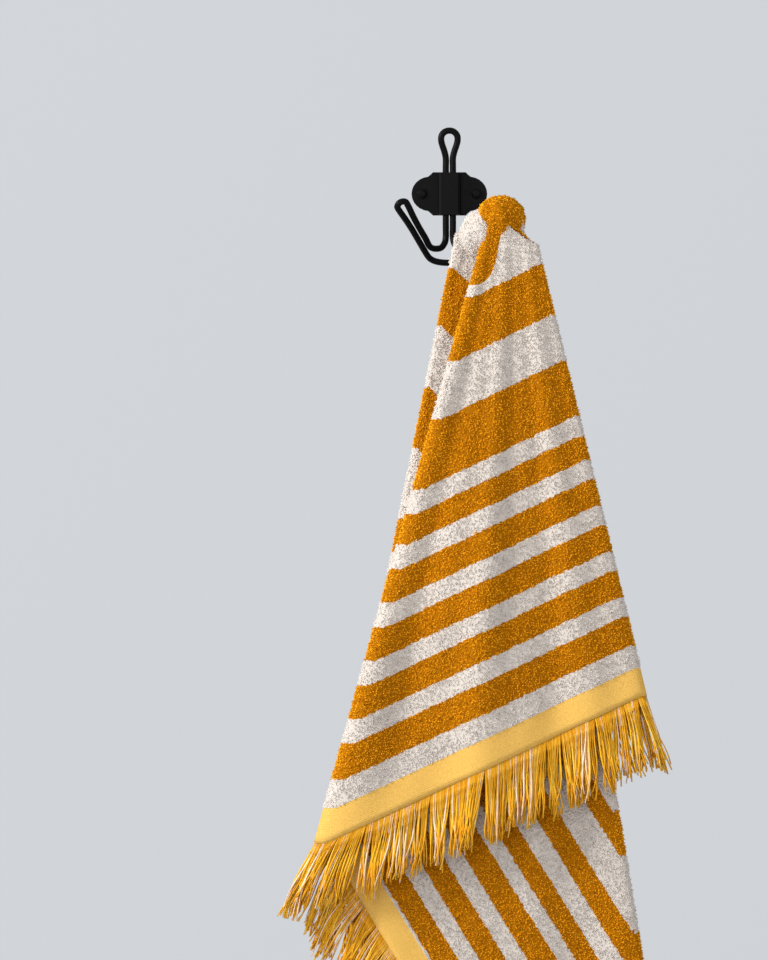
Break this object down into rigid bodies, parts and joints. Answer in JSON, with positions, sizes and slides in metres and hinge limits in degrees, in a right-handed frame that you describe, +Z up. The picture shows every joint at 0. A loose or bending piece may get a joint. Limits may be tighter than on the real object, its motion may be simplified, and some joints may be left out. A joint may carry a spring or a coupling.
{
  "type": "towel on a wall hook",
  "caption": "Striped terry hand towel with fringed ends, folded into a fan of hanging folds over one prong of a bent wire wall hook with a small backplate.",
  "frame": {"origin": "centre of the hook's backplate, on its flat back face, against the wall", "axes": "+Z up, +Y into the wall, +X to the right of someone who faces the hook"},
  "size_m": [0.2428, 0.0657, 0.6927],
  "materials": {
    "terry": "looped pile, mustard and cream stripes",
    "yarn": "loose cotton yarn",
    "enamel": "satin black"
  },
  "bodies": {
    "root": {"towel": "terry", "fringe_front": "yarn", "fringe_rear": "yarn", "plate": "enamel", "screw_left": "enamel", "screw_right": "enamel", "wire": "enamel"}
  },
  "joints": []
}
